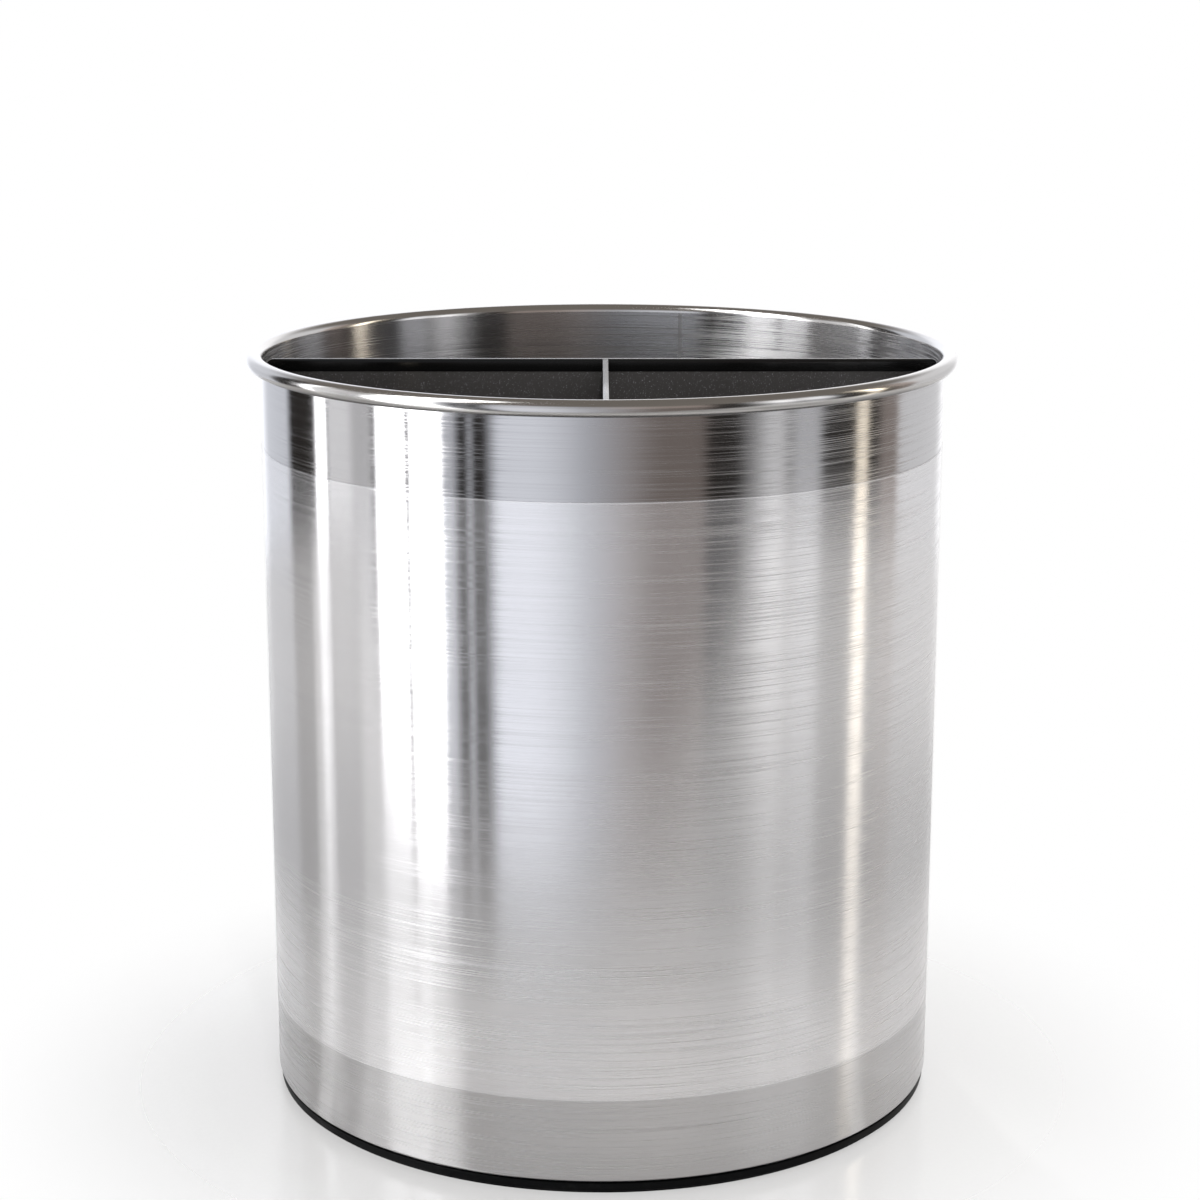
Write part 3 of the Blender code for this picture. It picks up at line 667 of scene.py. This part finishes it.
# Floor mat: a moulded black rubber disc that lies loose on the can's floor. Fine grooves ring it, and its
# raised T-shaped channel holds the foot of the divider.
mat_low, mat_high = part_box("floor_mat")
MAT_THICKNESS = 2.0 * MM
MAT_CHAMFER = 0.5 * MM
SLOT_DEPTH = 0.5 * MM
RAIL = 1.6 * MM
RAIL_MARGIN = 6.0 * MM
LONG_PANEL = 1.3 * MM
CROSS_PANEL = 1.0 * MM
CROSS_OFFSET = 0.8 * MM
RING_PITCH = 4.0 * MM
RING_WIDTH = 1.2 * MM
RING_FLOOR = 0.8 * MM
RING_DEPTH = 0.35 * MM
mat_radius = mat_high.x
mat_top = mat_low.z + MAT_THICKNESS
ring_count = int((mat_radius - RAIL_MARGIN) / RING_PITCH)
mat_profile = [(0, mat_top)]
for number in range(1, ring_count + 1):
    middle = number * RING_PITCH
    mat_profile += [(middle - RING_WIDTH / 2, mat_top), (middle - RING_FLOOR / 2, mat_top - RING_DEPTH),
                    (middle + RING_FLOOR / 2, mat_top - RING_DEPTH), (middle + RING_WIDTH / 2, mat_top)]
mat_profile += [(mat_radius - MAT_CHAMFER, mat_top), (mat_radius, mat_top - MAT_CHAMFER),
                (mat_radius, mat_low.z), (0, mat_low.z)]
mat = turned("grip_mat", mat_profile, TURN_STEPS // 2, closed=False)
slot_floor = mat_top - SLOT_DEPTH
for spread, end, level, operation in (
        (RAIL, mat_radius - RAIL_MARGIN, mat_high.z, "UNION"),
        (0, mat_radius + OVERRUN, mat_high.z + OVERRUN, "DIFFERENCE")):
    long_half = LONG_PANEL / 2 + SEAT_GAP + spread
    cross_half = CROSS_PANEL / 2 + SEAT_GAP + spread
    along = bmesh.new()
    block(along, (-end, -long_half, slot_floor), (end, long_half, level))
    combined(mat, along, operation)
    across = bmesh.new()
    block(across, (CROSS_OFFSET - cross_half, -end, slot_floor), (CROSS_OFFSET + cross_half, 0, level))
    combined(mat, across, operation)
dress(mat, rubber("mat_black", (0.045, 0.045, 0.047), 0.55), "mat", "black_rubber", "floor_mat")


# Divider: two black plastic walls. The long one spans the can, the cross one runs to the front and its tabs
# go through slots in the long one. Both have a smooth, slightly thicker band along the top.
BAND_HEIGHT = 3.0 * MM
DIVIDER_CORNER = 1.5 * MM
CORNER_STEPS = 8
DIVIDER_EDGE = 0.05 * MM
DIVIDER_SCRAP = DIVIDER_EDGE / 5
DIVIDER_SHARP = radians(40)
ONE_PLANE = radians(1)
RIDGE = 0.1 * MM
UPRIGHT = 0.5
TAB_HEIGHT = 18.0 * MM
TABS = 3
long_low, long_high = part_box("divider_long_wall")
cross_low, cross_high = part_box("divider_cross_wall")
divider_top = long_high.z
divider_bottom = long_low.z
band_bottom = divider_top - BAND_HEIGHT


def wall_outline(start, end, round_start, round_end):
    """The outline of a wall's top band: its upper corners rounded where it is free."""
    outline = [(start, band_bottom), (end, band_bottom)]
    for place, side, angle, is_round in ((end, -1, 0, round_end), (start, 1, 90, round_start)):
        centre = (place + side * DIVIDER_CORNER, divider_top - DIVIDER_CORNER)
        curve = arc(centre, DIVIDER_CORNER, angle, angle + 90, CORNER_STEPS)
        outline += curve if is_round else [(place, divider_top)]
    return outline


def slab(outline, low, high, along_x):
    """A bmesh of an upright outline with a thickness; the outline runs along X or along Y."""
    shape = bmesh.new()
    rims = []
    for level in (low, high):
        places = [(across, level, up) if along_x else (level, across, up) for across, up in outline]
        rims.append([shape.verts.new(place) for place in places])
    count = len(outline)
    shape.faces.new(rims[0])
    shape.faces.new(rims[1][::-1])
    for number in range(count):
        after = (number + 1) % count
        shape.faces.new((rims[0][number], rims[1][number], rims[1][after], rims[0][after]))
    bmesh.ops.recalc_face_normals(shape, faces=shape.faces)
    return shape


def edged(piece):
    """Round a wall's edges finely, as moulding does, once its flat faces are whole."""
    shape = bmesh.new()
    shape.from_mesh(piece.data)
    bmesh.ops.remove_doubles(shape, verts=shape.verts, dist=DIVIDER_SCRAP)
    bmesh.ops.dissolve_limit(shape, angle_limit=ONE_PLANE, verts=shape.verts, edges=shape.edges)
    shape.to_mesh(piece.data)
    shape.free()
    bevel = piece.modifiers.new("edge", "BEVEL")
    bevel.width = DIVIDER_EDGE
    bevel.segments = 2
    bevel.limit_method = "ANGLE"
    bevel.angle_limit = DIVIDER_SHARP
    return settled(piece)


def tab_levels():
    """The lower and upper levels of each tab, spread over the wall's height."""
    pitch = (band_bottom - divider_bottom) / TABS
    middles = [divider_bottom + pitch * (step + 0.5) for step in range(TABS)]
    return [(middle - TAB_HEIGHT / 2, middle + TAB_HEIGHT / 2) for middle in middles]


def satin_plastic(name):
    """The divider's black plastic: satin, with a fine grain and painted glints, specks of lighter grey, in
    it.
    """
    made, shader, start = new_finish(name, {"Specular IOR Level": 0.5})
    place = start.place()
    grain = place.noise(2400, 3, 0.7)
    # Painted glints: fine specks of lighter grey in the colour, left off the top ridge.
    painted_glints = place.noise(4200, 1).step(0.66, 0.74)
    flow = place.stretched(1, 1, 0.3).noise(60, 3)
    ridge = place.axis("Z").step(divider_top - 2 * RIDGE, divider_top - RIDGE)
    feed(shader, {
        "Base Color": (painted_glints * (1 - ridge)).mix((0.034, 0.032, 0.031), (0.24, 0.24, 0.25)),
        "Roughness": 0.20 + grain * 0.16 + flow * 0.06 - ridge * 0.14,
        "Normal": (grain + flow * 0.1).bump(0.02 * MM, 0.5)})
    return made


def polished_plastic(name):
    """The same plastic where the mould was polished, along the band: deep black with faint flow marks."""
    made, shader, start = new_finish(name, {"Specular IOR Level": 0.22})
    flow = start.place().stretched(1, 1, 0.3).noise(60, 3)
    feed(shader, {
        "Base Color": flow.mix((0.002, 0.002, 0.002), (0.005, 0.005, 0.005)),
        "Roughness": 0.08 + flow * 0.08,
        "Normal": flow.bump(0.01 * MM, 0.3)})
    return made


def banded(piece):
    """Give the upright faces of a wall's top band the polished finish."""
    piece.data.materials.append(polished_black)
    for face in piece.data.polygons:
        if face.center.z > band_bottom and abs(face.normal.z) < UPRIGHT:
            face.material_index = 1


divider_black = satin_plastic("divider_black")
polished_black = polished_plastic("polished_black_band")
long_half = LONG_PANEL / 2
cross_half = CROSS_PANEL / 2
overlap = BAND_HEIGHT / 2

panel = bmesh.new()
block(panel, (long_low.x, -long_half, divider_bottom), (long_high.x, long_half, band_bottom + overlap))
long_wall = as_piece("long_wall", panel)
long_band = slab(wall_outline(long_low.x, long_high.x, True, True), long_low.y, long_high.y, True)
combined(long_wall, long_band, "UNION")
slots = bmesh.new()
for low, high in tab_levels():
    block(slots, (CROSS_OFFSET - cross_half - SEAT_GAP, -long_half - OVERRUN, low - SEAT_GAP),
          (CROSS_OFFSET + cross_half + SEAT_GAP, long_half + OVERRUN, high + SEAT_GAP))
combined(long_wall, slots, "DIFFERENCE")
dress(edged(long_wall), divider_black, "divider", "divider_plastic", "divider_long_wall")
banded(long_wall)

back = long_low.y - SEAT_GAP
panel = bmesh.new()
block(panel, (CROSS_OFFSET - cross_half, cross_low.y, divider_bottom),
      (CROSS_OFFSET + cross_half, back, band_bottom + overlap))
cross_wall = as_piece("cross_wall", panel)
cross_band = slab(wall_outline(cross_low.y, back, True, False), cross_low.x, cross_high.x, False)
combined(cross_wall, cross_band, "UNION")
tabs = bmesh.new()
for low, high in tab_levels():
    block(tabs, (CROSS_OFFSET - cross_half, back - OVERRUN, low),
          (CROSS_OFFSET + cross_half, long_half, high))
combined(cross_wall, tabs, "UNION")
dress(edged(cross_wall), divider_black, "divider", "divider_plastic", "divider_cross_wall")
banded(cross_wall)


# Studio floor: a pale, slightly glossy table with a near front edge, painted darker a little way out from
# the foot and lighter further out, and window light painted on it as glow in three fans. The holder mirrors
# all of it, while a camera sees only a soft patch round the foot, on the white surroundings. A fan has the
# point that it spreads from, its four bearings and its brightness.
TABLE_STEPS = 96
TABLE_END = 0.52
TABLE_FRONT = -0.34
TABLE_SLANT = 0.30
TABLE_SOFT = 0.18
TABLE_NEAR = 0.12
TABLE_MIDDLE = 0.22
TABLE_FAR = 0.42
TABLE_PAINTED_SHADE = 0.46
TABLE_PAINTED_LIGHT = 0.36
TABLE_GLOW = 0.10
PATCH_SOLID = 0.080
PATCH_FADED = 0.16
PATCH_STRENGTH = 0.6
FANS = (
    ((-0.042, -0.055), -116, -113, -108, -105, 0.26),
    ((-0.013, -0.055), -91, -86, -62, -58, 0.20),
    ((0.035, -0.056), 89, 94, 98, 102, 0.18))
ground = bmesh.new()
bmesh.ops.create_circle(ground, cap_ends=True, segments=TABLE_STEPS, radius=TABLE_END + TABLE_SOFT)
table = as_piece("studio_table", ground)
paper, paper_shader, start = new_finish("pale_table", {
    "Roughness": 0.15, "Specular IOR Level": 1.0, "Emission Strength": 1.0})
place = start.place()
away = place.length()
tooth = place.noise(900, 3)
inwards = place.axis("Y") + place.axis("X") * TABLE_SLANT
whole = away.step(TABLE_END + TABLE_SOFT, TABLE_END) * inwards.step(TABLE_FRONT, TABLE_FRONT + TABLE_SOFT)
patch = away.step(PATCH_FADED, PATCH_SOLID)
# Painted shade and light: the table is painted darker a little way out from the foot and lighter further out.
tone = 1 - away.step(TABLE_NEAR, TABLE_MIDDLE) * TABLE_PAINTED_SHADE
tone = tone + away.step(TABLE_MIDDLE, TABLE_FAR) * TABLE_PAINTED_LIGHT
camera_ray = start.node("ShaderNodeLightPath", output="Is Camera Ray")
# Painted light: window light lies on the table as glow in fans, seen only in reflections.
painted_window_light = 0
for point, rising, full, falling, gone, brightness in FANS:
    painted_window_light = painted_window_light + place.bearing(*point).between(rising, full, falling, gone) * brightness
glow = tooth.mix((0.99 * TABLE_GLOW,) * 3, (TABLE_GLOW,) * 3)
feed(paper_shader, {
    "Base Color": tooth.mix((0.80, 0.80, 0.80), (0.84, 0.84, 0.84)).scaled(tone),
    "Emission Color": glow.plus(painted_window_light * (1 - camera_ray)),
    "Alpha": camera_ray * patch * PATCH_STRENGTH + (1 - camera_ray) * whole,
    "Normal": tooth.bump(0.02 * MM, 0.2)})
table.data.materials.append(paper)


# Studio surroundings: white behind the holder, and in front a dim warm room with cards of light round the
# table and the top of a tall window above them. A card's light rises between its first two bearings and falls
# between its last two, in degrees from the front; its brightness low down and higher up and its tint follow.
COOL = (0.95, 0.98, 1.06)
PLAIN = (0.99, 0.99, 1.01)
WARM = (1.14, 0.96, 0.88)
GOLD = (1.10, 0.98, 0.80)
CARDS = (
    (-182, -181, -132, -126, 0.78, 0.85, COOL),
    (-182, -181, -165, -150, 0.40, 0.45, PLAIN),
    (-111.5, -109.5, -105, -103.5, 3.00, 3.00, PLAIN),
    (-104, -102, -94, -89, 0.92, 0.92, PLAIN),
    (-94, -89, -84, -80, 0.62, 0.70, PLAIN),
    (-81, -79, -68.6, -68, 4.00, 3.00, PLAIN),
    (-66.6, -66, -56, -53, 4.00, 3.00, PLAIN),
    (-55, -53, -51, -47, 0.60, 0.60, COOL),
    (-46, -44.5, -43.5, -42, 0.36, 0.36, COOL),
    (-40, -33, -26, 22, 0.93, 0.80, COOL),
    (-8, 12, 32, 37, 0.15, 0.30, WARM),
    (44, 54, 75, 80, 0.35, 0.85, PLAIN),
    (51, 58, 60, 65, 0.36, 0.80, PLAIN),
    (65, 69, 74, 80, 0.20, 0.50, COOL),
    (91.5, 95, 97.5, 100.5, 1.10, 4.00, GOLD),
    (102, 109, 115, 119, 0.22, 0.40, WARM),
    (114, 119, 181, 182, 0.75, 0.85, PLAIN),
    (150, 165, 181, 182, 0.40, 0.45, PLAIN))
CARD_LEVELS = (-0.05, 0.12)
TALL_WINDOW = (-84, -80, -54, -49)
WINDOW_LEVELS = (0.46, 0.54, 0.85, 0.95)
WINDOW_BRIGHTNESS = 6.0
ROOM = (0.028, 0.025, 0.023)
CEILING = (0.21, 0.19, 0.17)
CEILING_LEVELS = (0.30, 0.62)
world = bpy.data.worlds.new("studio")
bpy.context.scene.world = world
world.use_nodes = True
start = Wire(world.node_tree)
way = start.node("ShaderNodeTexCoord", output="Generated")
bearing = way.bearing()
height = way.axis("Z")
upper = height.step(*CARD_LEVELS)
light = start.node("ShaderNodeRGB")
light.socket.default_value = (*ROOM, 1)
for rising, full, falling, gone, low, high, tint in CARDS:
    card = upper.mix(tuple(channel * low for channel in tint), tuple(channel * high for channel in tint))
    light = light.plus(card.scaled(bearing.between(rising, full, falling, gone)))
light = height.step(*CEILING_LEVELS).mix(light, CEILING)
pane = bearing.between(*TALL_WINDOW) * height.between(*WINDOW_LEVELS)
mirrored = start.node("ShaderNodeLightPath", output="Is Glossy Ray")
light = light.plus(pane * mirrored * WINDOW_BRIGHTNESS)
seen = start.node("ShaderNodeLightPath", output="Is Camera Ray")
light = seen.mix(light, (1.0, 1.0, 1.0))
feed(world.node_tree.nodes["Background"], {"Color": light})


# Studio lights: a large soft box over the right of the back, one low behind the camera, and two small spots
# above that shine into the can's opening. They light the table, the film and the plastics softly, and steel
# doesn't mirror them.
SOFT_BOXES = (
    ("back_box", (0.55, 0.35, 0.80), 0.7, 3.2),
    ("front_box", (0.20, -1.50, 0.40), 0.8, 15.0))
SPOTS = (("front_spot", (0.10, -0.60, 1.20)), ("back_spot", (-0.10, 0.60, 1.20)))
SPOT_POWER = 50.0
SPOT_BLEND = 0.3
SPOT_BULB = 0.05
BEAM = 0.85 * wall_inside


def hung(lamp, where, target, power):
    """Hang a lamp in the studio, aimed at a place on the holder."""
    lamp.energy = power
    light = bpy.data.objects.new(lamp.name, lamp)
    light.location = where
    light.rotation_euler = (target - Vector(where)).to_track_quat("-Z", "Y").to_euler()
    light.visible_camera = False
    light.visible_glossy = False
    bpy.context.scene.collection.objects.link(light)


for name, where, size, power in SOFT_BOXES:
    box = bpy.data.lights.new(name, "AREA")
    box.shape = "SQUARE"
    box.size = size
    hung(box, where, Vector((0, 0, rim_top / 2)), power)
for name, where in SPOTS:
    opening = Vector((0, 0, rim_top))
    spot = bpy.data.lights.new(name, "SPOT")
    spot.spot_size = 2 * atan2(BEAM, (opening - Vector(where)).length)
    spot.spot_blend = SPOT_BLEND
    spot.shadow_soft_size = SPOT_BULB
    hung(spot, where, opening, SPOT_POWER)


# Camera: at the height and distance that the ellipses of the rim, the film and the base ring give, looking
# slightly down at the holder.
FOCAL_PIXELS = 2738.0
IMAGE_WIDTH = 1200
CAMERA_DISTANCE = 648.1 * MM
CAMERA_HEIGHT = 269.4 * MM
CAMERA_SIDE = -0.5 * MM
CAMERA_PITCH = 0.2290
SENSOR_WIDTH = 36.0
lens = bpy.data.cameras.new("camera")
lens.sensor_width = SENSOR_WIDTH
lens.lens = FOCAL_PIXELS / IMAGE_WIDTH * SENSOR_WIDTH
camera = bpy.data.objects.new("camera", lens)
camera.location = (CAMERA_SIDE, -CAMERA_DISTANCE, CAMERA_HEIGHT)
camera.rotation_euler = (pi / 2 - CAMERA_PITCH, 0, 0)
bpy.context.scene.collection.objects.link(camera)
bpy.context.scene.camera = camera
bpy.context.scene.view_settings.view_transform = "Standard"
